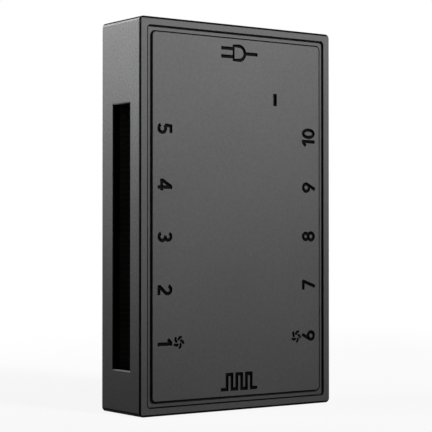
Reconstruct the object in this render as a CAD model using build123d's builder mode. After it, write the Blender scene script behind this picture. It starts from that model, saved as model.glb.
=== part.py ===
from build123d import *
import os

# Fan controller hub: a slim moulded box with five four-pin fan ports along each long side, a drive-power
# socket in the top end and a speed-control input in the bottom end.
# It stands on its bottom end: X is the width, Y the depth with the front at -Y, Z the height.
# All sizes are millimetres.

# Case
case_width = 55.0
case_depth = 16.4
case_height = 90.0
wall = 1.8
front_thickness = 2.2
corner_radius = 1.05
front_edge_radius = 0.35
back_edge_chamfer = 0.2
cavity_corner_radius = 0.5

# Channel that frames the front panel
rim_width = 1.95
channel_width = 1.25
channel_depth = 0.8
rim_corner_radius = 0.8
panel_corner_radius = 1.0

# Cover and board, stacked from the back
cover_thickness = 2.0
cover_clearance = 0.15
solder_gap = 0.7
board_thickness = 1.6
board_clearance = 0.3
board_corner_radius = 0.8

# Screws and the bosses that take them
boss_radius = 2.5
boss_inset = 3.0
rib_thickness = 1.2
screw_radius = 0.95
screw_length = 8.0
screw_head_radius = 1.9
screw_head_drop = 0.1
screw_clearance = 0.05
screw_slot_length = 2.0
screw_slot_width = 0.5
screw_slot_depth = 0.6
pilot_spare = 2.0
pass_clearance = 0.3

# Fan ports
ports_per_side = 5
port_recess = 4.8
slot_below = 10.1
slot_above = 19.3
slot_height = 7.1
slot_board_gap = 0.6
slot_chamfer = 0.25

# Four-pin headers, shared by the fan ports and the control input
pins_per_header = 4
pin_pitch = 2.54
pin_size = 0.64
pin_reach = 6.6
pin_height = 3.2
pin_tail = 0.5
pin_tip_chamfer = 0.15
pin_bend_radius = 0.7
pin_leg_gap = 1.1
pin_hole_clearance = 0.05
header_base = 2.8
header_height = 7.2
tongue_thickness = 1.0
tongue_width = 5.0
tongue_reach = 6.2
tongue_catch = 0.35
control_window_margin = 0.8

# Drive-power socket
socket_width = 25.2
socket_height = 6.9
socket_depth = 9.0
socket_wall = 1.0
socket_floor = 2.0
socket_window_margin = 0.5
blade_width = 20.6
blade_thickness = 1.25
blade_recess = 1.2
blade_back_gap = 1.25
key_width = 1.3
key_height = 2.0
contact_count = 15
contact_pitch = 1.27
contact_width = 0.8
contact_thickness = 0.2
contact_setback = 0.5
contact_leg_gap = 0.4
contact_foot = 1.2

# Indicator window, its light pipe and its lamp
window_x = 10.6
window_drop = 17.0
window_width = 1.15
window_height = 2.9
pipe_clearance = 0.1
pipe_recess = 0.6
pipe_flange_width = 3.6
pipe_flange_height = 6.0
pipe_flange_thickness = 1.0
lamp_gap = 0.3
lamp_width = 1.6
lamp_length = 3.2
lamp_height = 1.1

# Parts on the board
chip_width = 3.9
chip_length = 8.65
chip_height = 1.5
chip_lift = 0.15
lead_count = 7
lead_pitch = 1.27
lead_width = 0.41
lead_thickness = 0.2
lead_shoulder = 0.45
lead_foot = 0.6
lead_height = 0.9
can_radius = 3.15
can_height = 4.4
can_edge_chamfer = 0.4
can_base_size = 6.6
can_base_height = 1.0
can_base_chamfer = 1.0
resistor_size = (0.8, 1.6, 0.5)
ceramic_size = (1.25, 2.0, 1.0)
passive_gap = 1.4
passive_spread = 3.2
fuse_size = (3.2, 4.5, 0.9)
fuse_gap = 3.0

# Places worked out from the sizes above
front_y = -case_depth / 2
back_y = case_depth / 2
front_inner_y = front_y + front_thickness
cover_inner_y = back_y - cover_thickness
board_back_y = cover_inner_y - solder_gap
board_front_y = board_back_y - board_thickness
middle_z = case_height / 2
inner_width = case_width - 2 * wall
inner_height = case_height - 2 * wall

slot_y = board_front_y - slot_board_gap - slot_height / 2
slot_length = case_height - slot_below - slot_above
slot_z = slot_below + slot_length / 2
port_pitch = slot_length / ports_per_side
port_heights = [slot_below + (row + 0.5) * port_pitch for row in range(ports_per_side)]

header_width = pins_per_header * pin_pitch
half_pin = pin_size / 2
pin_hole = pin_size + 2 * pin_hole_clearance
leg_x = -(header_base + pin_leg_gap)
pin_lanes = [(index - (pins_per_header - 1) / 2) * pin_pitch for index in range(pins_per_header)]
tongue_lane = -pin_pitch / 2
port_face_x = case_width / 2 - port_recess - pin_reach
control_face_z = port_recess + pin_reach

socket_mouth_z = case_height - wall - board_clearance
socket_back_z = socket_mouth_z - socket_depth
blade_side = socket_height - socket_wall - blade_back_gap - blade_thickness
window_z = case_height - window_drop

boss_x = inner_width / 2 - boss_inset
boss_zs = (wall + boss_inset, case_height - wall - boss_inset)
screw_points = [(side * boss_x, z) for side in (-1, 1) for z in boss_zs]


def facing_front(y):
    """A plane across the depth at y: local x is X, local y is Z, and its normal points to the front."""
    return Plane.XZ.offset(-y)


def side_seat(side, z):
    """Where a fan header sits: x points out of the case, y off the board and z along the pins."""
    origin = (side * port_face_x, board_front_y, z)
    return Plane(origin=origin, x_dir=(side, 0, 0), z_dir=(0, 0, -side))


port_seats = [side_seat(side, z) for side in (-1, 1) for z in port_heights]
control_seat = Plane(origin=(0, board_front_y, control_face_z), x_dir=(0, 0, -1), z_dir=(-1, 0, 0))


def save(piece, name):
    """Label a finished piece and write it under its own name."""
    piece.part.label = name
    export_step(piece.part, f"parts/{name}.step")


os.makedirs("parts", exist_ok=True)


# Front shell: front panel, four walls, port slots, end windows and screw bosses in one moulding
def slot_rims(shell):
    """The outer edges of the two port slots, which the moulding breaks with a small chamfer."""
    rims = []
    for edge in shell.edges():
        place = edge.center()
        at_side = abs(abs(place.X) - case_width / 2) < 0.001
        in_depth = abs(place.Y - slot_y) < slot_height / 2 + 0.001
        in_length = abs(place.Z - slot_z) < slot_length / 2 + 0.001
        if at_side and in_depth and in_length:
            rims.append(edge)
    return rims


with BuildPart() as front_shell:
    with BuildSketch(facing_front(front_y)):
        with Locations((0, middle_z)):
            RectangleRounded(case_width, case_height, corner_radius)
    extrude(amount=-case_depth)
    ends_of_depth = front_shell.faces().filter_by(Axis.Y).sort_by(Axis.Y)
    fillet(ends_of_depth[0].edges(), front_edge_radius)
    chamfer(ends_of_depth[-1].edges(), back_edge_chamfer)
    # The hollow inside, open at the back
    with BuildSketch(facing_front(back_y)):
        with Locations((0, middle_z)):
            RectangleRounded(inner_width, inner_height, cavity_corner_radius)
    extrude(amount=case_depth - front_thickness, mode=Mode.SUBTRACT)
    # The channel that frames the front panel
    with BuildSketch(facing_front(front_y)):
        with Locations((0, middle_z)):
            rim_inset = 2 * rim_width
            panel_inset = rim_inset + 2 * channel_width
            RectangleRounded(case_width - rim_inset, case_height - rim_inset, rim_corner_radius)
            RectangleRounded(
                case_width - panel_inset, case_height - panel_inset, panel_corner_radius, mode=Mode.SUBTRACT
            )
    extrude(amount=-channel_depth, mode=Mode.SUBTRACT)
    # The indicator window
    with BuildSketch(facing_front(front_y)):
        with Locations((window_x, window_z)):
            Rectangle(window_width, window_height)
    extrude(amount=-front_thickness, mode=Mode.SUBTRACT)
    # One long slot through each side wall
    with BuildSketch(Plane.YZ):
        with Locations((slot_y, slot_z)):
            Rectangle(slot_height, slot_length)
    extrude(amount=case_width / 2, both=True, mode=Mode.SUBTRACT)
    chamfer(slot_rims(front_shell), slot_chamfer)
    # Windows for the power plug and the control plug in the two ends
    with BuildSketch(Plane.XY.offset(case_height)):
        with Locations((0, board_front_y - socket_height / 2)):
            window_spare = 2 * socket_window_margin
            Rectangle(socket_width + window_spare, socket_height + window_spare)
    extrude(amount=-wall, mode=Mode.SUBTRACT)
    with BuildSketch(Plane.XY):
        with Locations((0, slot_y)):
            Rectangle(header_width + 2 * control_window_margin, slot_height)
    extrude(amount=wall, mode=Mode.SUBTRACT)
    # Bosses that reach back to the board, each tied to its corner by two ribs
    with BuildSketch(facing_front(front_inner_y)):
        with Locations(*screw_points):
            Circle(boss_radius)
        for x, z in screw_points:
            side = 1 if x > 0 else -1
            end = 1 if z > middle_z else -1
            with Locations((x + side * boss_inset / 2, z)):
                Rectangle(boss_inset, rib_thickness)
            with Locations((x, z + end * boss_inset / 2)):
                Rectangle(rib_thickness, boss_inset)
    extrude(amount=front_inner_y - board_front_y)
    with BuildSketch(facing_front(board_front_y)):
        with Locations(*screw_points):
            Circle(screw_radius + screw_clearance)
    pilot_depth = screw_length + screw_head_drop + pilot_spare - (back_y - board_front_y)
    extrude(amount=pilot_depth, mode=Mode.SUBTRACT)
save(front_shell, "front_shell")


# Rear cover: a flat plate set inside the walls, with a raised square pad round each countersunk hole
with BuildPart() as rear_cover:
    with BuildSketch(facing_front(back_y)):
        with Locations((0, middle_z)):
            cover_inset = 2 * cover_clearance
            RectangleRounded(inner_width - cover_inset, inner_height - cover_inset, cavity_corner_radius)
    extrude(amount=cover_thickness)
    with BuildSketch(facing_front(cover_inner_y)):
        with Locations(*screw_points):
            Rectangle(2 * boss_radius, 2 * boss_radius)
    extrude(amount=solder_gap)
    head_planes = [Plane(origin=(x, back_y, z), x_dir=(1, 0, 0), z_dir=(0, 1, 0)) for x, z in screw_points]
    with Locations(*head_planes):
        CounterSinkHole(
            radius=screw_radius + pass_clearance,
            counter_sink_radius=screw_head_radius + screw_head_drop + screw_clearance,
            counter_sink_angle=90,
        )
save(rear_cover, "rear_cover")


# Case screws: countersunk, through the cover and the board into the bosses
with BuildPart() as case_screws:
    for x, z in screw_points:
        with BuildSketch(Plane(origin=(x, back_y - screw_head_drop, z), x_dir=(1, 0, 0), z_dir=(0, 0, 1))):
            with BuildLine():
                Polyline(
                    (0, 0),
                    (screw_head_radius, 0),
                    (screw_radius, screw_radius - screw_head_radius),
                    (screw_radius, -screw_length),
                    (0, -screw_length),
                    close=True,
                )
            make_face()
        revolve(axis=Axis((x, 0, z), (0, 1, 0)))
    for x, z in screw_points:
        with BuildSketch(Plane(origin=(x, back_y - screw_head_drop, z), x_dir=(1, 0, 0), z_dir=(0, 1, 0))):
            Rectangle(screw_slot_length, screw_slot_width)
            Rectangle(screw_slot_width, screw_slot_length)
        extrude(amount=-screw_slot_depth, mode=Mode.SUBTRACT)
save(case_screws, "case_screws")


# Circuit board: clamped between the bosses and the cover's pads, drilled for screws and pin tails
pin_leg_points = []
for seat in port_seats + [control_seat]:
    for lane in pin_lanes:
        leg = seat.from_local_coords((leg_x, 0, lane))
        pin_leg_points.append((leg.X, leg.Z))

with BuildPart() as circuit_board:
    with BuildSketch(facing_front(board_back_y)):
        with Locations((0, middle_z)):
            board_inset = 2 * board_clearance
            RectangleRounded(inner_width - board_inset, inner_height - board_inset, board_corner_radius)
        with Locations(*screw_points):
            Circle(screw_radius + pass_clearance, mode=Mode.SUBTRACT)
        with Locations(*pin_leg_points):
            Rectangle(pin_hole, pin_hole, mode=Mode.SUBTRACT)
    extrude(amount=board_thickness)
save(circuit_board, "circuit_board")


# Pins of one header: square wire, bent once, with the tails soldered through the board
def make_pins(seat):
    low = pin_height - half_pin
    high = pin_height + half_pin
    foot = -(board_thickness + pin_tail)
    with BuildPart() as pins:
        for lane in pin_lanes:
            with BuildSketch(seat.offset(lane)) as outline:
                with BuildLine():
                    Polyline(
                        (pin_reach, low),
                        (pin_reach, high),
                        (leg_x - half_pin, high),
                        (leg_x - half_pin, foot),
                        (leg_x + half_pin, foot),
                        (leg_x + half_pin, low),
                        close=True,
                    )
                make_face()
                fillet(outline.vertices().sort_by_distance((leg_x - half_pin, high))[0], pin_bend_radius)
            extrude(amount=half_pin, both=True)
        tips = pins.faces().sort_by(Axis(seat.origin, seat.x_dir))[-pins_per_header:]
        chamfer(tips.edges(), pin_tip_chamfer)
    return pins


# Housing of one header: an upright wafer round the pins, with a catch tongue over three of them
def make_header(seat, pins):
    top = header_height
    under = header_height - tongue_thickness
    with BuildPart() as header:
        with BuildSketch(seat):
            with Locations((-header_base / 2, header_height / 2)):
                Rectangle(header_base, header_height)
        extrude(amount=header_width / 2, both=True)
        with BuildSketch(seat.offset(tongue_lane)):
            with BuildLine():
                Polyline(
                    (0, top),
                    (tongue_reach - tongue_thickness / 2, top),
                    (tongue_reach, top - tongue_thickness / 2),
                    (tongue_reach, under),
                    (tongue_reach - tongue_catch, under - tongue_catch),
                    (tongue_reach - 2 * tongue_catch, under),
                    (0, under),
                    close=True,
                )
            make_face()
        extrude(amount=tongue_width / 2, both=True)
        add(pins.part, mode=Mode.SUBTRACT)
    return header


for number, seat in enumerate(port_seats, start=1):
    fan_pins = make_pins(seat)
    save(fan_pins, f"fan_pins_{number}")
    save(make_header(seat, fan_pins), f"fan_header_{number}")

control_pins = make_pins(control_seat)
save(control_pins, "control_pins")
save(make_header(control_seat, control_pins), "control_header")


# Power contacts: flat strips along the blade, through the socket's floor and down to the board
contact_lanes = [(index - (contact_count - 1) / 2) * contact_pitch for index in range(contact_count)]
contact_top_y = board_front_y - blade_side
contact_tip_z = socket_mouth_z - blade_recess - contact_setback
contact_leg_z = socket_back_z - contact_leg_gap
contact_foot_z = contact_leg_z - contact_foot

with BuildPart() as power_contacts:
    for lane in contact_lanes:
        with BuildSketch(Plane.YZ.offset(lane)):
            with BuildLine():
                Polyline(
                    (contact_top_y, contact_tip_z),
                    (contact_top_y, contact_leg_z - contact_thickness),
                    (board_front_y - contact_thickness, contact_leg_z - contact_thickness),
                    (board_front_y - contact_thickness, contact_foot_z),
                    (board_front_y, contact_foot_z),
                    (board_front_y, contact_leg_z),
                    (contact_top_y + contact_thickness, contact_leg_z),
                    (contact_top_y + contact_thickness, contact_tip_z),
                    close=True,
                )
            make_face()
        extrude(amount=contact_width / 2, both=True)
save(power_contacts, "power_contacts")


# Power socket: a rectangular shroud with a keyed blade inside, its mouth behind the top window
socket_mouth = Plane(origin=(0, board_front_y, socket_mouth_z), x_dir=(1, 0, 0), z_dir=(0, 0, -1))

with BuildPart() as power_socket:
    with BuildSketch(socket_mouth):
        with Locations((0, socket_height / 2)):
            Rectangle(socket_width, socket_height)
    extrude(amount=socket_depth)
    with BuildSketch(socket_mouth):
        with Locations((0, socket_height / 2)):
            Rectangle(socket_width - 2 * socket_wall, socket_height - 2 * socket_wall)
    extrude(amount=socket_depth - socket_floor, mode=Mode.SUBTRACT)
    with BuildSketch(socket_mouth.offset(blade_recess)):
        with Locations((0, blade_side + blade_thickness / 2)):
            Rectangle(blade_width, blade_thickness)
        with Locations((blade_width / 2 - key_width / 2, blade_side - key_height / 2)):
            Rectangle(key_width, key_height)
    extrude(amount=socket_depth - socket_floor - blade_recess)
    add(power_contacts.part, mode=Mode.SUBTRACT)
save(power_socket, "power_socket")


# Status lamp and the clear pipe that carries its light to the window
with BuildPart() as status_led:
    with BuildSketch(facing_front(board_front_y)):
        with Locations((window_x, window_z)):
            Rectangle(lamp_width, lamp_length)
    extrude(amount=lamp_height)
save(status_led, "status_led")

with BuildPart() as light_pipe:
    pipe_back_y = board_front_y - lamp_height - lamp_gap
    with BuildSketch(facing_front(pipe_back_y)):
        with Locations((window_x, window_z)):
            Rectangle(window_width - 2 * pipe_clearance, window_height - 2 * pipe_clearance)
    extrude(amount=pipe_back_y - front_y - pipe_recess)
    with BuildSketch(facing_front(front_inner_y)):
        with Locations((window_x, window_z)):
            Rectangle(pipe_flange_width, pipe_flange_height)
    extrude(amount=-pipe_flange_thickness)
save(light_pipe, "light_pipe")


# Driver chip: a moulded body on gull-wing leads
chip_z = slot_z - port_pitch
lead_lanes = [chip_z + (index - (lead_count - 1) / 2) * lead_pitch for index in range(lead_count)]
lead_root = chip_width / 2
lead_bend = lead_root + lead_shoulder
lead_top_y = board_front_y - lead_height

with BuildPart() as driver_chip_leads:
    for lane in lead_lanes:
        with BuildSketch(Plane.XY.offset(lane)):
            with BuildLine():
                Polyline(
                    (lead_root, lead_top_y),
                    (lead_bend, lead_top_y),
                    (lead_bend, board_front_y - lead_thickness),
                    (lead_bend + lead_foot, board_front_y - lead_thickness),
                    (lead_bend + lead_foot, board_front_y),
                    (lead_bend - lead_thickness, board_front_y),
                    (lead_bend - lead_thickness, lead_top_y + lead_thickness),
                    (lead_root, lead_top_y + lead_thickness),
                    close=True,
                )
            make_face()
            mirror(about=Plane.YZ)
        extrude(amount=lead_width / 2, both=True)
save(driver_chip_leads, "driver_chip_leads")

with BuildPart() as driver_chip:
    with BuildSketch(facing_front(board_front_y - chip_lift)):
        with Locations((0, chip_z)):
            Rectangle(chip_width, chip_length)
    extrude(amount=chip_height)
save(driver_chip, "driver_chip")


# Bulk capacitors: two round cans, each on a square base with two corners cut
can_points = [(0, slot_z + port_pitch), (0, slot_z + 2 * port_pitch)]

with BuildPart() as capacitor_bases:
    with BuildSketch(facing_front(board_front_y)) as base_outline:
        with Locations(*can_points):
            Rectangle(can_base_size, can_base_size)
        cut_corners = base_outline.vertices().filter_by(lambda corner: corner.X > 0)
        chamfer(cut_corners, can_base_chamfer)
    extrude(amount=can_base_height)
save(capacitor_bases, "capacitor_bases")

with BuildPart() as bulk_capacitors:
    with BuildSketch(facing_front(board_front_y - can_base_height)):
        with Locations(*can_points):
            Circle(can_radius)
    extrude(amount=can_height)
    can_tops = bulk_capacitors.faces().sort_by(Axis.Y)[: len(can_points)]
    chamfer(can_tops.edges(), can_edge_chamfer)
save(bulk_capacitors, "bulk_capacitors")


# Small chip parts: one resistor and one ceramic capacitor behind each fan header
def chip_parts(size, lift):
    """A chip part for each fan port, set behind the pin tails and shifted along the row by lift."""
    width, length, height = size
    passive_x = port_face_x + leg_x - half_pin - passive_gap - width / 2
    places = [(side * passive_x, z + lift) for side in (-1, 1) for z in port_heights]
    with BuildPart() as parts:
        with BuildSketch(facing_front(board_front_y)):
            with Locations(*places):
                Rectangle(width, length)
        extrude(amount=height)
    return parts


save(chip_parts(resistor_size, -passive_spread / 2), "chip_resistors")
save(chip_parts(ceramic_size, passive_spread / 2), "ceramic_capacitors")


# Resettable fuse, on the supply just below the power socket
with BuildPart() as resettable_fuse:
    fuse_width, fuse_length, fuse_height = fuse_size
    fuse_z = contact_foot_z - fuse_gap - fuse_length / 2
    with BuildSketch(facing_front(board_front_y)):
        with Locations((0, fuse_z)):
            Rectangle(fuse_width, fuse_length)
    extrude(amount=fuse_height)
save(resettable_fuse, "resettable_fuse")
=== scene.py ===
from math import cos, pi, radians, sin

import bmesh
import bpy
from mathutils import Matrix, Vector


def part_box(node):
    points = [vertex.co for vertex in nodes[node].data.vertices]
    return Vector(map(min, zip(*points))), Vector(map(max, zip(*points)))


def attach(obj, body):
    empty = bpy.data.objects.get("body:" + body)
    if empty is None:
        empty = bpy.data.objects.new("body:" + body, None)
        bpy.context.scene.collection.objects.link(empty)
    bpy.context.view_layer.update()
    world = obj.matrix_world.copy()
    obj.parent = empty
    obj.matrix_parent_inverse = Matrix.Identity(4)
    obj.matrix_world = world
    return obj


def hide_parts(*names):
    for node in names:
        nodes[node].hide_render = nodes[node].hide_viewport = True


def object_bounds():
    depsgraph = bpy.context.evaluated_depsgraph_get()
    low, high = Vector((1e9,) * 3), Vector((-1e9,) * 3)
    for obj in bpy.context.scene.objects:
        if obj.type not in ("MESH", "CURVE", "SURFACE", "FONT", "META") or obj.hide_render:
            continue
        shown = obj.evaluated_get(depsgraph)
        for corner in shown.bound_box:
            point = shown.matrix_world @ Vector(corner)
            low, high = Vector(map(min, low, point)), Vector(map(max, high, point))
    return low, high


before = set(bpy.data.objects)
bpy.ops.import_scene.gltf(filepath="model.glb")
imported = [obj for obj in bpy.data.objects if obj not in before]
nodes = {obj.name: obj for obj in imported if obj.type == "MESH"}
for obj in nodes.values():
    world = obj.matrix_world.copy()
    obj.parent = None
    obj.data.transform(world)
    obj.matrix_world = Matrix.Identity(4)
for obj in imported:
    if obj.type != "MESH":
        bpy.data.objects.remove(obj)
cad_low, cad_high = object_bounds()
mm = 0.001


# Circuit board: a glass-fibre plate under black solder mask, with copper tracks that show as faint ridges.
# It is clamped between the shell's four bosses and the rear cover's pads, and carries all electrical parts.
class Wire:
    """One output in a material's node tree. Python's operators on it add the Math nodes they stand for."""

    def __init__(self, tree, socket):
        self.tree = tree
        self.socket = socket

    def node(self, kind, settings, sockets, output=0):
        """Adds any other node: its settings are made first, then its sockets get their values or wires."""
        made = self.tree.nodes.new(kind)
        for name, value in settings.items():
            setattr(made, name, value)
        for name, value in sockets.items():
            if isinstance(value, Wire):
                self.tree.links.new(value.socket, made.inputs[name])
            else:
                made.inputs[name].default_value = value
        return Wire(self.tree, made.outputs[output])

    def math(self, operation, *terms):
        return self.node("ShaderNodeMath", {"operation": operation}, dict(enumerate(terms)))

    def axes(self):
        """The three parts of a vector, each as a wire of its own."""
        split = self.node("ShaderNodeSeparateXYZ", {}, {"Vector": self})
        return [Wire(self.tree, socket) for socket in split.socket.node.outputs]

    def feeds(self, shader, name):
        self.tree.links.new(self.socket, shader.inputs[name])

    def __add__(self, other):
        return self.math("ADD", self, other)

    def __sub__(self, other):
        return self.math("SUBTRACT", self, other)

    def __rsub__(self, other):
        return self.math("SUBTRACT", other, self)

    def __mul__(self, other):
        return self.math("MULTIPLY", self, other)

    def __gt__(self, other):
        return self.math("GREATER_THAN", self, other)

    def __lt__(self, other):
        return self.math("LESS_THAN", self, other)

    def __abs__(self):
        return self.math("ABSOLUTE", self)

    __radd__ = __add__
    __rmul__ = __mul__


def new_finish(name, colour, roughness, metallic=0.0):
    """A material with its even values set, its shader, and a wire on the Object coordinates in metres."""
    finish = bpy.data.materials.new(name)
    finish.use_nodes = True
    tree = finish.node_tree
    shader = tree.nodes["Principled BSDF"]
    shader.inputs["Base Color"].default_value = (*colour, 1)
    shader.inputs["Roughness"].default_value = roughness
    shader.inputs["Metallic"].default_value = metallic
    place = Wire(tree, tree.nodes.new("ShaderNodeTexCoord").outputs["Object"])
    return finish, shader, place


def noise(place, size, detail=2.0, rough=0.5):
    """Soft noise about 0.5, with blotches about size metres across and finer ones as rough grows."""
    values = {"Vector": place, "Scale": 1 / size, "Detail": detail, "Roughness": rough}
    return place.node("ShaderNodeTexNoise", {}, values)


def blend(mask, first, second):
    """The first colour where mask is 0 and the second where it is 1."""
    return mask.node("ShaderNodeMix", {"data_type": "RGBA"}, {0: mask, 6: first, 7: second}, output=2)


def relief(shader, height, depth):
    """A relief in which a height of 1 stands depth metres above a height of 0."""
    bump = height.node("ShaderNodeBump", {}, {"Height": height, "Distance": depth})
    bump.feeds(shader, "Normal")


def shade(colour, factor):
    """A plain colour made lighter or darker, as red, green, blue and alpha."""
    return (*(min(1.0, part * factor) for part in colour), 1)


def dress(finish, *names):
    """Gives CAD nodes that keep their own shape a better material."""
    for name in names:
        nodes[name].material_slots[0].material = finish


mask_black = (0.012, 0.015, 0.013)
laminate_brown = (0.060, 0.050, 0.024)
track_pitch = 1.27 * mm
track_width = 0.45 * mm
track_height = 0.03 * mm
track_run = 9 * mm
fibre = 0.2 * mm

board_finish, shader, place = new_finish("board_mask", mask_black, 0.4)
height = place.axes()[2]
wander = (noise(place, track_run, 0.0) > 0.5) * 0.5 * track_pitch
run = height + wander
tracks = run.math("PINGPONG", run, track_pitch / 2) < track_width / 2
sides = place.node("ShaderNodeNewGeometry", {}, {}, output="Normal").axes()
cut_edge = abs(sides[1]) < 0.5
mask_colour = blend(tracks, shade(mask_black, 1.0), shade(mask_black, 1.8))
fibres = noise(place, fibre)
edge_colour = blend(fibres, shade(laminate_brown, 0.7), shade(laminate_brown, 1.3))
blend(cut_edge, mask_colour, edge_colour).feeds(shader, "Base Color")
(0.36 + 0.1 * fibres + 0.3 * cut_edge).feeds(shader, "Roughness")
relief(shader, tracks + 0.15 * fibres, track_height)
dress(board_finish, "circuit_board")


# Parts soldered to the board's front: the driver chip on its leads, two electrolytic cans on black bases,
# chip resistors, ceramic capacitors and a fuse. They are moulded epoxy, fired ceramic, tin and aluminium.
def grained(name, colour, roughness, grain, depth, metallic=0.0, drift=0.15, index=1.5):
    """A finish with grain of the given size and depth, whose colour and gloss drift from place to place."""
    finish, shader, place = new_finish(name, colour, roughness, metallic)
    shader.inputs["IOR"].default_value = index
    fine = noise(place, grain, 3.0)
    slow = noise(place, 25 * grain)
    tone = 0.7 * slow + 0.3 * fine
    blend(tone, shade(colour, 1 - drift), shade(colour, 1 + drift)).feeds(shader, "Base Color")
    (roughness + 0.25 * (tone - 0.5)).feeds(shader, "Roughness")
    relief(shader, fine, depth)
    return finish


dress(grained("chip_mould", (0.022, 0.022, 0.024), 0.62, 0.12 * mm, 0.01 * mm), "driver_chip")
dress(grained("tinned_leads", (0.62, 0.62, 0.60), 0.34, 0.15 * mm, 0.006 * mm, 1.0), "driver_chip_leads")
dress(grained("can_base", (0.015, 0.015, 0.016), 0.5, 0.2 * mm, 0.01 * mm), "capacitor_bases")
dress(grained("resistor_glaze", (0.018, 0.018, 0.020), 0.32, 0.1 * mm, 0.004 * mm), "chip_resistors")
dress(grained("ceramic_body", (0.24, 0.155, 0.085), 0.45, 0.1 * mm, 0.006 * mm), "ceramic_capacitors")
dress(grained("fuse_body", (0.02, 0.035, 0.028), 0.5, 0.15 * mm, 0.01 * mm), "resettable_fuse")

can_low, can_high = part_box("bulk_capacitors")
can_metal = (0.70, 0.70, 0.71)
print_black = (0.015, 0.015, 0.016)
print_depth = 0.1 * mm
print_start = 0.3 * can_high.x
draw_grain = 0.1 * mm
draw_depth = 0.004 * mm
can_finish, shader, place = new_finish("can_aluminium", can_metal, 0.3, 1.0)
across, depth = place.axes()[:2]
printed = (depth < can_low.y + print_depth) * (across > print_start)
drawn = noise(place, draw_grain)
blend(printed, shade(can_metal, 1.0), shade(print_black, 1.0)).feeds(shader, "Base Color")
(1 - printed).feeds(shader, "Metallic")
(0.22 + 0.14 * drawn + 0.2 * printed).feeds(shader, "Roughness")
relief(shader, drawn, draw_depth)
dress(can_finish, "bulk_capacitors")


# Pins and contacts: square wire and flat strip, stamped from brass and flashed with gold, in eleven headers
# and the power socket. They are pressed through their housings and soldered to the board.
gold = grained("contact_gold", (0.72, 0.50, 0.21), 0.28, 0.08 * mm, 0.003 * mm, 1.0)
fan_ports = range(1, 11)
dress(gold, *(f"fan_pins_{port}" for port in fan_ports), "control_pins", "power_contacts")


# Header housings: black nylon wafers that hold four pins each, with a springy catch tongue above the pins.
# Each is moulded with eased edges and stands on the board, ten along the sides and one at the bottom end.
sliver = 0.002 * mm
flat_angle = radians(0.5)
corner_angle = radians(40)
sharp_angle = radians(32)


def merged(node):
    """A CAD node's loose triangles as one closed shape, with its flat faces made whole."""
    shape = bmesh.new()
    shape.from_mesh(nodes[node].data)
    bmesh.ops.remove_doubles(shape, verts=shape.verts, dist=sliver)
    bmesh.ops.dissolve_limit(shape, angle_limit=flat_angle, verts=shape.verts, edges=shape.edges)
    return shape


def ease(shape, edges, width):
    """Rounds the given edges over, as a mould does."""
    bmesh.ops.bevel(
        shape, geom=edges, offset=width, offset_type="OFFSET", segments=2, profile=0.5,
        affect="EDGES", clamp_overlap=True,
    )


def corners(shape):
    """The edges at which two faces meet at a clear angle."""
    return [edge for edge in shape.edges if edge.is_manifold and edge.calc_face_angle() > corner_angle]


def plain_mesh(shape, name):
    """A finished shape as a mesh of its own, with nothing carried over from the CAD node but its form."""
    shape.verts.index_update()
    points = [vert.co.copy() for vert in shape.verts]
    faces = [[vert.index for vert in face.verts] for face in shape.faces]
    finishes = [face.material_index for face in shape.faces]
    shape.free()
    mesh = bpy.data.meshes.new(name)
    mesh.from_pydata(points, [], faces)
    mesh.polygons.foreach_set("material_index", finishes)
    return mesh


def fit(name, mesh, finish, slot, *stands_for):
    """Puts a mesh, without its slivers, in the hub as the piece that stands for the given CAD nodes."""
    shape = bmesh.new()
    shape.from_mesh(mesh)
    bmesh.ops.remove_doubles(shape, verts=shape.verts, dist=sliver)
    bmesh.ops.dissolve_degenerate(shape, edges=shape.edges, dist=sliver)
    shape.to_mesh(mesh)
    shape.free()
    if finish:
        mesh.materials.append(finish)
    mesh.shade_smooth()
    mesh.set_sharp_from_angle(angle=sharp_angle)
    piece = bpy.data.objects.new(name, mesh)
    bpy.context.scene.collection.objects.link(piece)
    even = piece.modifiers.new("even shading", "WEIGHTED_NORMAL")
    even.weight = 100
    even.keep_sharp = True
    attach(piece, "root")
    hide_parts(*stands_for)


header_edge = 0.1 * mm
nylon = grained("header_nylon", (0.016, 0.016, 0.017), 0.48, 0.25 * mm, 0.008 * mm)
for node in [f"fan_header_{port}" for port in fan_ports] + ["control_header"]:
    housing = merged(node)
    ease(housing, corners(housing), header_edge)
    fit(f"{node}_housing", plain_mesh(housing, node), nylon, "header_plastic", node)


# Power socket: a black shroud round a keyed blade with fifteen contacts, behind the window in the top end.
# It is moulded in the same nylon as the headers and its foot is soldered to the board.
socket_edge = 0.12 * mm
shroud = merged("power_socket")
ease(shroud, corners(shroud), socket_edge)
fit("power_socket_shroud", plain_mesh(shroud, "power_socket"), nylon, "header_plastic", "power_socket")


# Status lamp and light pipe: a small lamp on the board, and a smoked clear bar that carries its light to
# the window in the front panel. The bar is moulded with a flange that rests on the back of the panel.
lamp = grained("lamp_body", (0.62, 0.60, 0.52), 0.4, 0.1 * mm, 0.004 * mm)
dress(lamp, "status_led")

smoke = (0.03, 0.03, 0.032)
flow_size = 0.6 * mm
flow_depth = 0.004 * mm
pipe_finish, shader, place = new_finish("smoked_pipe", smoke, 0.12)
shader.inputs["Transmission Weight"].default_value = 0.9
shader.inputs["IOR"].default_value = 1.58
flow = noise(place, flow_size)
(0.1 + 0.08 * flow).feeds(shader, "Roughness")
relief(shader, flow, flow_depth)
dress(pipe_finish, "light_pipe")


# Front shell: the visible case, one moulding in black plastic with a fine even texture, polished top corners
# and slot sills, and smooth edges, slot jambs and inside coloured near black as painted shade. A channel
# frames its front panel, and the port numbers and signs are sunk into the panel and coloured near black:
# painted shade.
case_black = (0.088, 0.088, 0.089)
case_index = 1.2
case_grain = 0.5 * mm
case_blotch = 22 * mm
case_relief = 0.03 * mm
front_contrast = 0.85
side_contrast = 1.8
tone_range = 0.45
# near black, used as painted shade on the shell's edges, jambs and inside, and in the sunk marks
painted_shade_black = (0.004, 0.004, 0.004)

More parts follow.
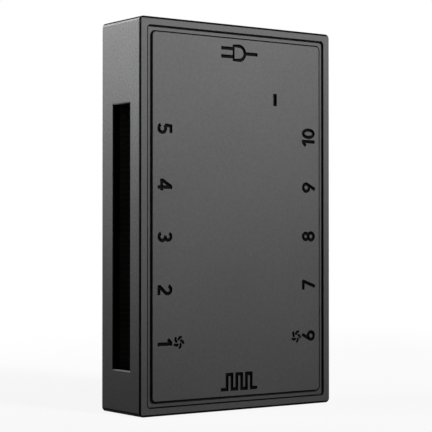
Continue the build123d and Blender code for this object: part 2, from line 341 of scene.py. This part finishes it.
case_finish, shader, place = new_finish("case_plastic", case_black, 0.5)
shader.inputs["IOR"].default_value = case_index
pebbles = noise(place, case_grain, detail=5.0, rough=0.75)
slow = noise(place, case_blotch)
sides = place.node("ShaderNodeNewGeometry", {}, {}, output="Normal").axes()
contrast = front_contrast + side_contrast * abs(sides[0])
tone = 0.5 + contrast * (0.8 * pebbles + 0.2 * slow - 0.5)
blend(tone, shade(case_black, 1 - tone_range), shade(case_black, 1 + tone_range)).feeds(shader, "Base Color")
(0.42 + 0.16 * tone).feeds(shader, "Roughness")
relief(shader, pebbles, case_relief)

# painted shade: a near-black smooth finish for the front edge fillets, the channel's rounded edges, the slot
# jambs, the end bands and the shell's inside
case_smooth = grained("case_smooth", painted_shade_black, 0.5, 0.2 * mm, 0.004 * mm, index=1.06)
case_gloss = grained("case_gloss", case_black, 0.28, 0.2 * mm, 0.002 * mm, index=2.2)
# painted shade: the sunk numbers and signs are coloured near black, darker than the shade in their recesses
# gives
recess_shade_paint = grained("sunk_ink", painted_shade_black, 0.7, 0.15 * mm, 0.01 * mm, index=1.1)

digit_height = 4.0 * mm
digit_width = 2.55 * mm
stroke_width = 0.78 * mm
stroke_depth = 0.5 * mm
stroke_draft = 0.06 * mm
half_height = (digit_height - stroke_width) / 2
half_width = (digit_width - stroke_width) / 2
foot = digit_height / 2
arc_step = 12


def bow(across, up, radius, start, stop):
    """Points along an arc about (across, up), from one angle to another in degrees."""
    steps = max(2, round(abs(stop - start) / arc_step))
    turns = [radians(start + (stop - start) * step / steps) for step in range(steps + 1)]
    return [(across + radius * cos(turn), up + radius * sin(turn)) for turn in turns]


def ring(up, radius):
    """Points round a circle on the digit's middle line, with the first one given again at the end."""
    points = bow(0, up, radius, 90, 450)
    return points[:-1] + [points[0]]


low_bowl = half_width - half_height
waist = 0.1 * mm
top_ring = (half_height - waist) / 2
low_ring = (half_height + waist) / 2
slant_end = (0.42 * mm, foot)
tail = [(-0.81 * half_width, low_bowl + 0.61 * half_width), slant_end]
six = [ring(low_bowl, half_width), tail]

digits = {
    "0": [[(across, up * half_height / half_width) for across, up in ring(0, half_width)]],
    "1": [[(0.12 * mm, -foot), (0.12 * mm, foot)], [(0.05 * mm, 0.86 * foot), (-0.95 * mm, 0.42 * foot)]],
    "2": [bow(0, -low_bowl, half_width, 165, -45) + [(-0.95 * half_width, -0.95 * half_height)],
          [(-1.25 * half_width, -half_height), (1.28 * half_width, -half_height)]],
    "3": [bow(0, half_height - top_ring, top_ring, 160, -90) + [(-0.25 * mm, waist)],
          bow(0, low_ring - half_height, low_ring, 90, -160)],
    "4": [[(0.6 * mm, -foot), (0.6 * mm, foot)], [(0.56 * mm, 0.9 * foot), (-1.1 * mm, -0.42 * foot)],
          [(-1.3 * mm, -0.46 * foot), (1.35 * mm, -0.46 * foot)]],
    "5": [[(1.15 * half_width, half_height), (-0.85 * half_width, half_height)],
          [(-0.64 * half_width, 0.95 * foot), (-0.8 * half_width, 0)],
          bow(0, 1.03 * low_bowl, 1.04 * half_width, 142, -155)],
    "6": six,
    "7": [[(-1.3 * half_width, half_height), (1.3 * half_width, half_height)],
          [(1.08 * half_width, 0.9 * foot), (-0.45 * half_width, -foot)]],
    "8": [ring(half_height - top_ring, top_ring), ring(low_ring - half_height, low_ring)],
    "9": [[(-across, -up) for across, up in stroke] for stroke in six],
}


def turned(strokes, turn, centre):
    """Strokes turned by a number of degrees and moved to a centre on the panel."""
    spin = Matrix.Rotation(radians(turn), 2)
    return [[spin @ Vector(point) + Vector(centre) for point in stroke] for stroke in strokes]


digit_column = 20.86 * mm
digit_gap = 2.05 * mm
digit_heights = [16.3, 28.4, 40.4, 52.2, 64.9, 16.5, 28.8, 40.5, 52.3, 64.35]
digit_marks = []
for port, height in zip(fan_ports, digit_heights):
    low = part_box(f"fan_header_{port}")[0]
    side = 1 if low.x > 0 else -1
    number = str(port)
    for index, digit in enumerate(number):
        shift = (index - (len(number) - 1) / 2) * digit_gap
        digit_marks += turned(digits[digit], 90 * side, (side * digit_column, height * mm + side * shift))

blade_count = 5
blade_inner = 0.44 * mm
blade_outer = 1.36 * mm
blade_width = 0.58 * mm
blade_start = 100
blade_sweep = 48
blade_steps = 7
fan_sign_column = 17.06 * mm
fan_sign_height = 16.48 * mm
blade = []
for step in range(blade_steps + 1):
    reach = blade_inner + (blade_outer - blade_inner) * step / blade_steps
    turn = radians(blade_start - blade_sweep * (step / blade_steps) ** 2)
    blade.append((reach * cos(turn), reach * sin(turn)))
fan_marks = []
for side in (-1, 1):
    for turn in range(blade_count):
        fan_marks += turned([blade], 360 / blade_count * turn, (side * fan_sign_column, fan_sign_height))

plug_height = 83.4 * mm
plug_half = 1.65 * mm
plug_face = 1.6 * mm
prong = 0.95 * mm
prong_end = 5.2 * mm
lead_start = -1.8 * mm
lead_end = -5.4 * mm
plug_sign = [
    [(lead_end, 0), (lead_start, 0)],
    bow(0, 0, plug_half, 90, 270) + [(plug_face, -plug_half), (plug_face, plug_half), (0, plug_half)],
    [(plug_face, prong), (prong_end, prong)],
    [(plug_face, -prong), (prong_end, -prong)],
]
digit_marks += turned(plug_sign, 180, (0, plug_height))

pulse_height = 6.65 * mm
pulse_half = 1.7 * mm
pulse_step = 1.4 * mm
pulse_runs = 7
pulse_points = []
for step in range(pulse_runs):
    level = pulse_half if step % 2 else -pulse_half
    start = step - pulse_runs / 2
    pulse_points += [(start * pulse_step, level), ((start + 1) * pulse_step, level)]
corner = stroke_width / 2
pulse_sign = []
for start, stop in zip(pulse_points, pulse_points[1:]):
    run = (Vector(stop) - Vector(start)).normalized() * corner
    pulse_sign.append([Vector(start) - run, Vector(stop) + run])
digit_marks += turned(pulse_sign, 0, (0, pulse_height))


def new_tree(name, inputs):
    """A Geometry Nodes tree with a geometry in and out, and a named input for each size."""
    tree = bpy.data.node_groups.new(name, "GeometryNodeTree")
    tree.interface.new_socket("Geometry", in_out="INPUT", socket_type="NodeSocketGeometry")
    tree.interface.new_socket("Geometry", in_out="OUTPUT", socket_type="NodeSocketGeometry")
    for label, kind in inputs.items():
        tree.interface.new_socket(label, in_out="INPUT", socket_type=kind)
    return tree, tree.nodes.new("NodeGroupInput").outputs, tree.nodes.new("NodeGroupOutput").inputs


def baked(piece):
    """A piece's mesh with its modifiers worked in."""
    depsgraph = bpy.context.evaluated_depsgraph_get()
    return bpy.data.meshes.new_from_object(piece.evaluated_get(depsgraph), depsgraph=depsgraph)


def grown(mesh, tree, values):
    """The plain mesh that a tree makes from a mesh, with the tree's named inputs set."""
    host = bpy.data.objects.new(tree.name, mesh)
    bpy.context.scene.collection.objects.link(host)
    modifier = host.modifiers.new(tree.name, "NODES")
    modifier.node_group = tree
    for item in tree.interface.items_tree:
        if item.in_out == "INPUT" and item.name in values:
            modifier[item.identifier] = values[item.name]
    made = baked(host)
    bpy.data.objects.remove(host)
    return made


size = "NodeSocketFloat"
engraver, given, result = new_tree(
    "engraver", {"Width": size, "Depth": size, "Draft": size, "Ink": "NodeSocketMaterial"}
)
nodes_of = engraver.nodes
link = engraver.links.new
to_curve = nodes_of.new("GeometryNodeMeshToCurve")
upright = nodes_of.new("GeometryNodeSetCurveNormal")
upright.mode = "Z_UP"
section = nodes_of.new("GeometryNodeCurvePrimitiveQuadrilateral")
section.mode = "TRAPEZOID"
section.inputs["Offset"].default_value = 0
widest = nodes_of.new("ShaderNodeMath")
widest.operation = "ADD"
tall = nodes_of.new("ShaderNodeMath")
tall.operation = "MULTIPLY"
tall.inputs[1].default_value = 2
sweep = nodes_of.new("GeometryNodeCurveToMesh")
sweep.inputs["Fill Caps"].default_value = True
solid = nodes_of.new("GeometryNodeRealizeInstances")
coat = nodes_of.new("GeometryNodeSetMaterial")
link(given["Geometry"], to_curve.inputs["Mesh"])
link(to_curve.outputs["Curve"], upright.inputs["Curve"])
link(upright.outputs["Curve"], sweep.inputs["Curve"])
link(given["Width"], widest.inputs[0])
link(given["Draft"], widest.inputs[1])
link(given["Depth"], tall.inputs[0])
link(given["Width"], section.inputs["Bottom Width"])
link(widest.outputs[0], section.inputs["Top Width"])
link(tall.outputs[0], section.inputs["Height"])
link(section.outputs["Curve"], sweep.inputs["Profile Curve"])
link(sweep.outputs["Mesh"], solid.inputs["Geometry"])
link(solid.outputs["Geometry"], coat.inputs["Geometry"])
link(given["Ink"], coat.inputs["Material"])
link(coat.outputs["Geometry"], result["Geometry"])


def cutter(name, strokes, width, draft):
    """A solid that cuts the given strokes into the front panel."""
    points = []
    edges = []
    for stroke in strokes:
        first = len(points)
        closed = (Vector(stroke[0]) - Vector(stroke[-1])).length < sliver
        path = stroke[:-1] if closed else stroke
        points += [(point[0], point[1], 0) for point in path]
        edges += [(first + index, first + index + 1) for index in range(len(path) - 1)]
        if closed:
            edges.append((len(points) - 1, first))
    lines = bpy.data.meshes.new(name)
    lines.from_pydata(points, edges, [])
    made = grown(lines, engraver, {"Width": width, "Depth": stroke_depth, "Draft": draft, "Ink": recess_shade_paint})
    made.transform(Matrix.Translation((0, cad_low.y, 0)) @ Matrix.Rotation(pi / 2, 4, "X"))
    tool = bpy.data.objects.new(name, made)
    bpy.context.scene.collection.objects.link(tool)
    return tool


skin = 1.1 * mm
flush = 0.01 * mm
# bands this deep along the front of the sides, and as deep at the ends, take the near-black painted shade
painted_shade_reach = 0.52 * mm
end_reach = 0.5 * mm
channel_column = 20 * mm
channel_row = 38 * mm
channel_inset = 2.575 * mm
channel_depth = 0.8 * mm
channel_fill = 0.25 * mm
wall_draw = 0.18 * mm
rim_edge = 0.29 * mm
panel_edge = 0.36 * mm
edge_profile = 0.75
square_on = 0.999
nearly_flat = 0.99
turned_out = 0.2
edge_on = 0.1
front_lip = -0.5
corner_gloss = 0.58
sill_gloss = 0.75
case_depth = cad_high.y - cad_low.y
half_case = cad_high.z / 2
grain_slot, painted_shade_slot, gloss_slot = range(3)

shell = merged("front_shell")
# cuts that bound the bands of near-black painted shade
painted_shade_limits = [
    ((0, cad_low.y + painted_shade_reach, 0), (0, 1, 0)),
    ((0, 0, end_reach), (0, 0, 1)),
    ((0, 0, cad_high.z - end_reach), (0, 0, 1)),
]
for point, normal in painted_shade_limits:
    every = shell.verts[:] + shell.edges[:] + shell.faces[:]
    bmesh.ops.bisect_plane(shell, geom=every, dist=sliver, plane_co=point, plane_no=normal)

wall_normals = {}
for face in shell.faces:
    centre = face.calc_center_median()
    depth = centre.y - cad_low.y
    aside = abs(centre.x)
    along = abs(centre.z - half_case)
    flat = max(abs(part) for part in face.normal) > nearly_flat
    wall = abs(face.normal.y) < edge_on
    on_side = aside > cad_high.x - skin and abs(face.normal.x) > turned_out
    on_end = along > half_case - skin and abs(face.normal.z) > turned_out
    on_front = depth < skin and face.normal.y < -square_on
    on_back = depth > case_depth - skin and face.normal.y > square_on
    in_channel = depth < skin and (aside > channel_column or along > channel_row)
    by_opening = depth < case_depth - skin and (aside < channel_column or along < channel_row)
    on_lip = by_opening and face.normal.y > front_lip
    gloss_limit = corner_gloss if along > channel_row else sill_gloss
    catches_light = wall and edge_on < face.normal.z < gloss_limit
    if on_side or on_end:
        grainy = depth > painted_shade_reach and (flat or on_lip)
        glossy = depth > painted_shade_reach and catches_light
    else:
        at_end = along > half_case - end_reach
        grainy = (on_front or in_channel) and not at_end or on_back
        glossy = False
    # faces that are neither grained nor glossy take the near-black painted shade: front edge fillets, jambs,
    # end bands and inside
    face.material_index = gloss_slot if glossy else grain_slot if grainy else painted_shade_slot
    if in_channel and wall and not (on_side or on_end):
        for vert in face.verts:
            wall_normals[vert] = wall_normals.get(vert, Vector()) + face.normal
for vert, normal in wall_normals.items():
    on_floor = vert.co.y > cad_low.y + channel_depth - sliver
    vert.co += normal.normalized() * wall_draw
    vert.co.y -= channel_fill if on_floor else 0

panel_edges = []
rim_edges = []
for edge in corners(shell):
    in_front = max(vert.co.y for vert in edge.verts) < cad_low.y + flush
    aside = max(abs(vert.co.x) for vert in edge.verts)
    along = max(abs(vert.co.z - half_case) for vert in edge.verts)
    if in_front and aside > channel_column:
        on_rim = aside > cad_high.x - channel_inset or along > half_case - channel_inset
        (rim_edges if on_rim else panel_edges).append(edge)
# the channel's edges are rounded over in the near-black painted shade finish, which draws dark lines along
# the channel
for edges, width in ((panel_edges, panel_edge), (rim_edges, rim_edge)):
    bmesh.ops.bevel(
        shell, geom=edges, offset=width, offset_type="OFFSET", segments=2, profile=edge_profile,
        affect="EDGES", clamp_overlap=False, material=painted_shade_slot,
    )

blank = bpy.data.objects.new("shell_blank", plain_mesh(shell, "shell_blank"))
for finish in (case_finish, case_smooth, case_gloss):
    blank.data.materials.append(finish)
bpy.context.scene.collection.objects.link(blank)
tools = [
    cutter("digit_cutter", digit_marks, stroke_width, stroke_draft),
    cutter("fan_cutter", fan_marks, blade_width, 0.0),
]
# the cut faces of the marks take the cutters' near-black painted shade
for tool in tools:
    engraving = blank.modifiers.new("engraving", "BOOLEAN")
    engraving.operation = "DIFFERENCE"
    engraving.solver = "EXACT"
    engraving.use_self = True
    engraving.material_mode = "TRANSFER"
    engraving.object = tool
shell_mesh = baked(blank)
for spent in (blank, *tools):
    bpy.data.objects.remove(spent)
fit("front_shell_case", shell_mesh, None, "case_plastic", "front_shell")


# Rear cover: a flat plate in the same plastic as the shell, set flush inside its walls with a thin gap all
# round. Its edges are eased, and four countersunk holes take the case screws.
cover_edge = 0.15 * mm
outer_face = cad_high.y - 0.1 * mm
cover = merged("rear_cover")
outer_edges = [edge for edge in corners(cover) if min(vert.co.y for vert in edge.verts) > outer_face]
ease(cover, outer_edges, cover_edge)
fit("rear_cover_plate", plain_mesh(cover, "rear_cover"), case_finish, "case_plastic", "rear_cover")


# Case screws: four countersunk steel screws, blackened, with a tapered cross recess in each head. They pass
# through the cover and the board and cut their own thread in the shell's bosses.
steel = grained("screw_steel", (0.10, 0.10, 0.105), 0.34, 0.1 * mm, 0.004 * mm, 1.0)
screw_low, screw_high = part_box("case_screws")
head_radius = 1.9 * mm
shank_radius = 0.95 * mm
screw_length = screw_high.y - screw_low.y
head_edge = 0.12 * mm
screw_sides = 40
recess_depth = 0.75 * mm
recess_reach = 1.0 * mm
recess_width = 0.5 * mm
recess_taper = 0.35
recess_narrowing = 0.7
driver_proud = 0.02 * mm

profile = [
    (0, 0), (head_radius - head_edge, 0), (head_radius, -head_edge),
    (shank_radius, shank_radius - head_radius - head_edge / 2),
    (shank_radius, -screw_length), (0, -screw_length),
]
screw = bmesh.new()
rim = [screw.verts.new((radius, 0, along)) for radius, along in profile]
outline = [screw.edges.new(pair) for pair in zip(rim, rim[1:])]
bmesh.ops.spin(
    screw, geom=rim + outline, axis=(0, 0, 1), cent=(0, 0, 0), angle=2 * pi, steps=screw_sides,
    use_duplicate=False,
)
bmesh.ops.remove_doubles(screw, verts=screw.verts, dist=sliver)
bmesh.ops.recalc_face_normals(screw, faces=screw.faces)
screw_blank = bpy.data.objects.new("screw_blank", plain_mesh(screw, "screw_blank"))
bpy.context.scene.collection.objects.link(screw_blank)

driver = bmesh.new()
for turn in (0, pi / 2):
    spin = Matrix.Rotation(turn, 4, "Z")
    slab = bmesh.ops.create_cube(driver, size=1.0)["verts"]
    for vert in slab:
        deep = vert.co.z < 0
        reach = 2 * recess_reach * (recess_taper if deep else 1.0)
        width = recess_width * (recess_narrowing if deep else 1.0)
        height = -recess_depth if deep else driver_proud
        vert.co = spin @ Vector((vert.co.x * reach, vert.co.y * width, height))
driver_bit = bpy.data.objects.new("driver_bit", plain_mesh(driver, "driver_bit"))
bpy.context.scene.collection.objects.link(driver_bit)
recess = screw_blank.modifiers.new("cross recess", "BOOLEAN")
recess.operation = "DIFFERENCE"
recess.solver = "EXACT"
recess.use_self = True
recess.object = driver_bit
screw_mesh = baked(screw_blank)
bpy.data.objects.remove(screw_blank)
bpy.data.objects.remove(driver_bit)
screw_mesh.transform(Matrix.Rotation(-pi / 2, 4, "X"))
one_screw = bpy.data.objects.new("one_screw", screw_mesh)
bpy.context.scene.collection.objects.link(one_screw)

setter, given, result = new_tree(
    "screw_setter", {"Screw": "NodeSocketObject", "Steel": "NodeSocketMaterial"}
)
nodes_of = setter.nodes
link = setter.links.new
pattern = nodes_of.new("GeometryNodeObjectInfo")
place_on = nodes_of.new("GeometryNodeInstanceOnPoints")
solid = nodes_of.new("GeometryNodeRealizeInstances")
coat = nodes_of.new("GeometryNodeSetMaterial")
link(given["Screw"], pattern.inputs["Object"])
link(given["Geometry"], place_on.inputs["Points"])
link(pattern.outputs["Geometry"], place_on.inputs["Instance"])
link(place_on.outputs["Instances"], solid.inputs["Geometry"])
link(solid.outputs["Geometry"], coat.inputs["Geometry"])
link(given["Steel"], coat.inputs["Material"])
link(coat.outputs["Geometry"], result["Geometry"])
corner_x = screw_high.x - head_radius
corner_z = (screw_low.z + head_radius, screw_high.z - head_radius)
seats = bpy.data.meshes.new("screw_seats")
seats.from_pydata([(side * corner_x, screw_high.y, end) for side in (-1, 1) for end in corner_z], [], [])
screws_mesh = grown(seats, setter, {"Screw": one_screw, "Steel": steel})
bpy.data.objects.remove(one_screw)
fit("case_screw_set", screws_mesh, None, "screw_steel", "case_screws")


# Studio: a white floor and white surroundings, with one soft light behind the hub's left side, and one ahead
# of it, high up and a little to the right. The camera stands where the photograph's stood.
def softbox(name, place, side, aim_height, spread, watts):
    """A square soft light turned to a height above the hub's middle, so that its light fades downwards."""
    lamp = bpy.data.lights.new(name, "AREA")
    lamp.size = side
    lamp.spread = radians(spread)
    lamp.energy = watts
    box = bpy.data.objects.new(name, lamp)
    box.location = place
    box.rotation_euler = (Vector((0, 0, aim_height)) - Vector(place)).to_track_quat("-Z", "Y").to_euler()
    bpy.context.scene.collection.objects.link(box)


def seen_rays(tree):
    """A wire that is 1 for rays that show the surroundings, and 0 for rays that only light things."""
    path = Wire(tree, tree.nodes.new("ShaderNodeLightPath").outputs["Is Camera Ray"])
    rays = path.socket.node.outputs
    glossy = Wire(tree, rays["Is Glossy Ray"])
    clear = Wire(tree, rays["Is Transmission Ray"])
    return path.math("MAXIMUM", path.math("MAXIMUM", path, glossy), clear)


softbox("left_light", place=(-0.22, 0.10, 0.18), side=0.15, aim_height=0.15, spread=46, watts=0.314)
softbox("front_light", place=(0.09, -0.42, 0.28), side=0.12, aim_height=0.135, spread=38, watts=0.218)

ambient = 0.07
world = bpy.data.worlds.new("studio")
bpy.context.scene.world = world
world.use_nodes = True
tree = world.node_tree
tree.nodes.clear()
seen = seen_rays(tree)
dim = seen.node("ShaderNodeBackground", {}, {"Color": (1, 1, 1, 1), "Strength": ambient})
white = seen.node("ShaderNodeBackground", {}, {"Color": (1, 1, 1, 1), "Strength": 1.0})
studio_light = seen.node("ShaderNodeMixShader", {}, {0: seen, 1: dim, 2: white})
output = tree.nodes.new("ShaderNodeOutputWorld")
studio_light.feeds(output, "Surface")

floor_reach = 3.0
floor_white = (0.12, 0.12, 0.12)
shadow_near = 0.05
shadow_far = 0.35
near_white = 0.9
floor_finish, shader, place = new_finish("floor_white", floor_white, 0.9)
shader.inputs["Specular IOR Level"].default_value = 0.0
seen = seen_rays(floor_finish.node_tree)
away = place.node("ShaderNodeVectorMath", {"operation": "LENGTH"}, {0: place}, output="Value")
lift = away.node("ShaderNodeMapRange", {}, {
    "Value": away, "From Min": shadow_near, "From Max": shadow_far, "To Min": near_white, "To Max": 1.0,
})
glow = lift * seen
glow.feeds(shader, "Emission Color")
shader.inputs["Emission Strength"].default_value = 1.0
ground = bpy.data.meshes.new("floor")
ground.from_pydata([(-floor_reach, -floor_reach, 0), (floor_reach, -floor_reach, 0),
                    (floor_reach, floor_reach, 0), (-floor_reach, floor_reach, 0)], [], [(0, 1, 2, 3)])
ground.materials.append(floor_finish)
floor = bpy.data.objects.new("floor", ground)
bpy.context.scene.collection.objects.link(floor)

camera_lens = 123.28
camera_place = (-206.18 * mm, -286.27 * mm, 39.91 * mm)
camera_yaw = 35.658
camera_pitch = 0.885
camera = bpy.data.objects.new("camera", bpy.data.cameras.new("camera"))
camera.data.lens = camera_lens
camera.location = camera_place
camera.rotation_euler = (radians(90 + camera_pitch), 0, radians(-camera_yaw))
bpy.context.scene.collection.objects.link(camera)
bpy.context.scene.camera = camera
bpy.context.scene.view_settings.view_transform = "Standard"
